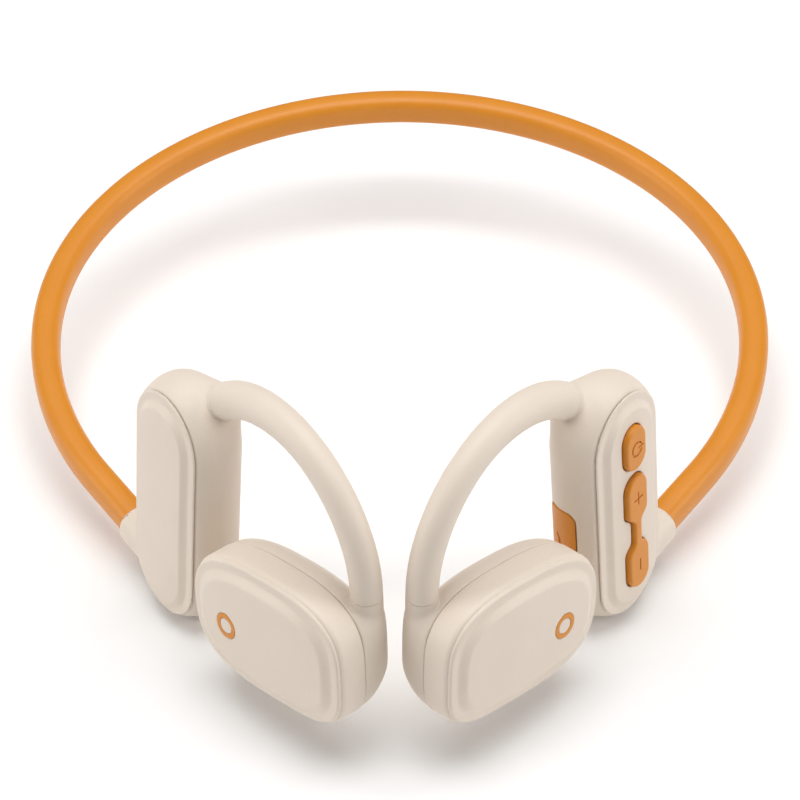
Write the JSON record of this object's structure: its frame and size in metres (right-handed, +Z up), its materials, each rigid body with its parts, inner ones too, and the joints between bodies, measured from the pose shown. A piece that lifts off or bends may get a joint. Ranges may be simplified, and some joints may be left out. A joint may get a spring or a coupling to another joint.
{
  "type": "bone conduction headphones",
  "caption": "Neckband bone conduction headphones: sprung band behind the head, two capsule pods, ear hooks and oval speakers that rest in front of the ears.",
  "frame": {"origin": "on the ground plane, under the middle of the overall length and width", "axes": "+Z up as worn; +X towards the wearer's left; +Y towards the back of the neck, so the speakers face -Y"},
  "size_m": [0.1408, 0.1672, 0.0574],
  "materials": {
    "band_silicone": "satin silicone",
    "shell_plastic": "soft-touch satin",
    "hook_silicone": "satin silicone",
    "key_plastic": "satin",
    "spring_titanium": "drawn",
    "cable_jacket": "matte",
    "seal_rubber": "matte",
    "nickel_steel": "satin",
    "magnet_nickel": "satin",
    "coil_copper": "enamelled",
    "board_mask": "solder mask",
    "chip_epoxy": "matte",
    "battery_foil": "foil",
    "foam": "open cell",
    "pad_silicone": "matte silicone"
  },
  "bodies": {
    "band": {"neck_band": "band_silicone", "band_spring_wire": "spring_titanium", "band_cable": "cable_jacket"},
    "left_arm": {"control_pod_shell": "shell_plastic", "control_pod_cover": "shell_plastic", "control_cover_seal": "seal_rubber", "charging_port": "nickel_steel", "control_circuit_board": "board_mask", "main_chip": "chip_epoxy", "tactile_switches": "nickel_steel", "microphone": "nickel_steel", "circuit_board_screws": "nickel_steel", "left_ear_hook": "hook_silicone", "left_hook_wire": "spring_titanium", "left_hook_cable": "cable_jacket"},
    "right_arm": {"battery_pod_shell": "shell_plastic", "battery_pod_cover": "shell_plastic", "battery_cover_seal": "seal_rubber", "battery_cell": "battery_foil", "battery_foam_pad": "foam", "battery_protection_board": "board_mask", "right_ear_hook": "hook_silicone", "right_hook_wire": "spring_titanium", "right_hook_cable": "cable_jacket"},
    "left_speaker": {"left_speaker_back_shell": "shell_plastic", "left_speaker_side_band": "shell_plastic", "left_speaker_face": "shell_plastic", "left_face_ring": "key_plastic", "left_transducer_yoke": "nickel_steel", "left_transducer_magnet": "magnet_nickel", "left_pole_plate": "nickel_steel", "left_suspension_spring": "nickel_steel"},
    "right_speaker": {"right_speaker_back_shell": "shell_plastic", "right_speaker_side_band": "shell_plastic", "right_speaker_face": "shell_plastic", "right_face_ring": "key_plastic", "right_transducer_yoke": "nickel_steel", "right_transducer_magnet": "magnet_nickel", "right_pole_plate": "nickel_steel", "right_suspension_spring": "nickel_steel"},
    "left_vibrator": {"left_voice_coil": "coil_copper", "left_contact_plate": "nickel_steel", "left_contact_pad": "pad_silicone"},
    "right_vibrator": {"right_voice_coil": "coil_copper", "right_contact_plate": "nickel_steel", "right_contact_pad": "pad_silicone"},
    "power_key": {"power_button": "key_plastic"},
    "volume_key": {"volume_rocker": "key_plastic"},
    "port_flap": {"charging_port_cover": "key_plastic"}
  },
  "joints": [
    {"name": "left_band_flex", "type": "hinge", "parent": "band", "child": "left_arm", "pos_m": [0.03, 0.07452, 0.02302], "axis": [0, -0.1392, 0.9903], "range_deg": [0, 24], "stiffness_Nm_per_rad": 0.4, "deforming": ["neck_band", "band_spring_wire", "band_cable"]},
    {"name": "right_band_flex", "type": "hinge", "parent": "band", "child": "right_arm", "pos_m": [-0.03, 0.07452, 0.02302], "axis": [0, 0.1392, -0.9903], "range_deg": [0, 24], "stiffness_Nm_per_rad": 0.4, "deforming": ["neck_band", "band_spring_wire", "band_cable"]},
    {"name": "left_hook_flex", "type": "hinge", "parent": "left_arm", "child": "left_speaker", "pos_m": [0.0085, -0.06783, 0.048], "axis": [-0.7869, 0.617, 0], "range_deg": [-3, 4], "stiffness_Nm_per_rad": 0.2, "deforming": ["left_ear_hook", "left_hook_wire", "left_hook_cable"]},
    {"name": "right_hook_flex", "type": "hinge", "parent": "right_arm", "child": "right_speaker", "pos_m": [-0.0085, -0.06783, 0.048], "axis": [-0.7869, -0.617, 0], "range_deg": [-3, 4], "stiffness_Nm_per_rad": 0.2, "deforming": ["right_ear_hook", "right_hook_wire", "right_hook_cable"]},
    {"name": "power_press", "type": "slide", "parent": "left_arm", "child": "power_key", "axis": [-0.798, 0.597, -0.0819], "range_m": [0, 0.0004], "stiffness_N_per_m": 2000},
    {"name": "volume_tilt", "type": "hinge", "parent": "left_arm", "child": "volume_key", "pos_m": [0.03932, -0.04297, 0.02039], "axis": [0.599, 0.8007, 0], "range_deg": [-1.8, 1.8], "stiffness_Nm_per_rad": 0.05},
    {"name": "port_flap_swing", "type": "hinge", "parent": "left_arm", "child": "port_flap", "pos_m": [0.02721, -0.04402, 0.02015], "axis": [0.0656, -0.0491, -0.9966], "range_deg": [0, 100]},
    {"name": "left_pad_travel", "type": "slide", "parent": "left_speaker", "child": "left_vibrator", "axis": [-0.7044, 0.7044, -0.0872], "range_m": [-0.0001, 0.0001], "stiffness_N_per_m": 3000, "deforming": ["left_suspension_spring"]},
    {"name": "right_pad_travel", "type": "slide", "parent": "right_speaker", "child": "right_vibrator", "axis": [0.7044, 0.7044, -0.0872], "range_m": [-0.0001, 0.0001], "stiffness_N_per_m": 3000, "deforming": ["right_suspension_spring"]}
  ],
  "couplings": [
    {"joint": "right_band_flex", "follows": "left_band_flex", "ratio": 1}
  ]
}
